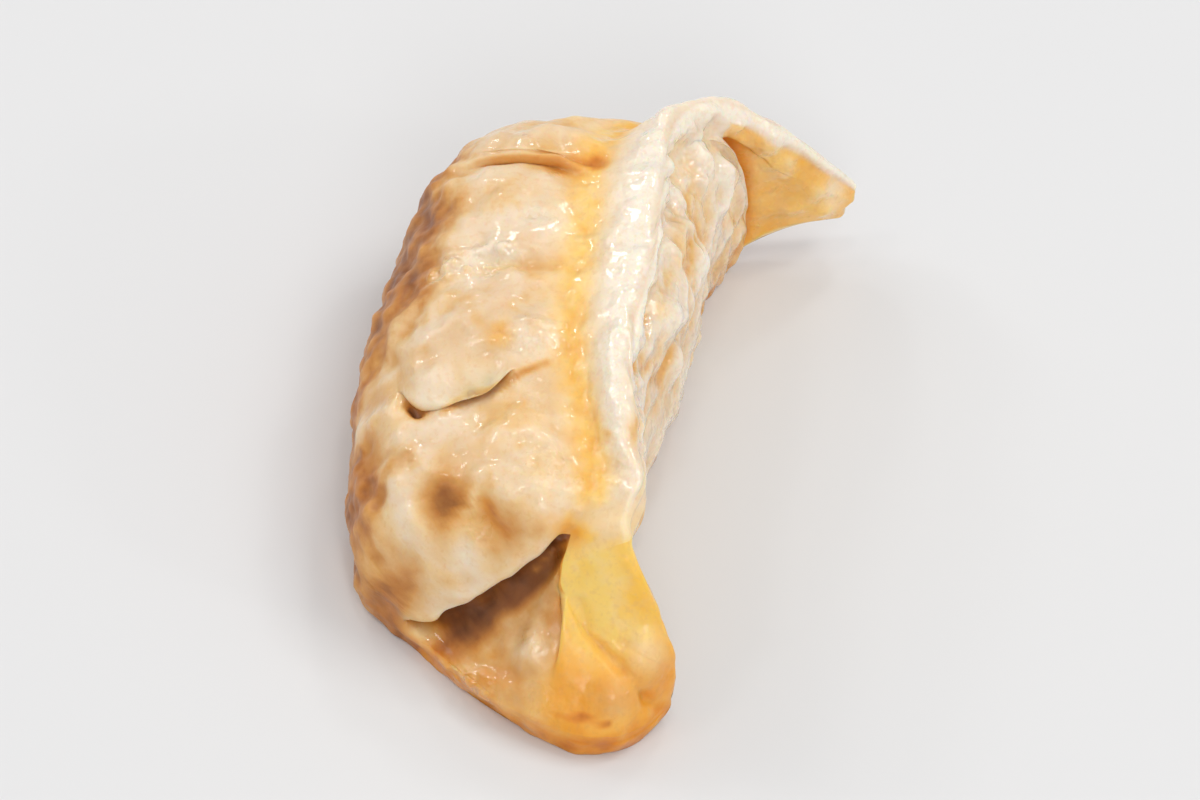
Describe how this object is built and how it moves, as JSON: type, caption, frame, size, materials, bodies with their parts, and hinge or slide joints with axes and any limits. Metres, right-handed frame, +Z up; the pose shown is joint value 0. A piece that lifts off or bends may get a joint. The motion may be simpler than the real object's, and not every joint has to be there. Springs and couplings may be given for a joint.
{
  "type": "gyoza dumpling",
  "caption": "Pan-fried gyoza dumpling: a crescent of dough pleated along one side, with a sealed crest leaning back, an open fold at one end, a curled tail at the other and a flat underside.",
  "frame": {"origin": "on the flat underside, below the centre of the bounding box", "axes": "+Z up from the flat underside; +X along the sealed crest towards the open end fold, so the curled tail is at -X; the pleated belly faces -Y and the plain back +Y"},
  "size_m": [0.075, 0.0452, 0.0264],
  "materials": {
    "fried_dough": "thin wheat dough, pan-fried: pale cream on the folds, golden where the dough is thin, orange-brown along the underside and the outer edge, with an oily gloss"
  },
  "bodies": {
    "root": {"gyoza": "fried_dough"}
  },
  "joints": []
}
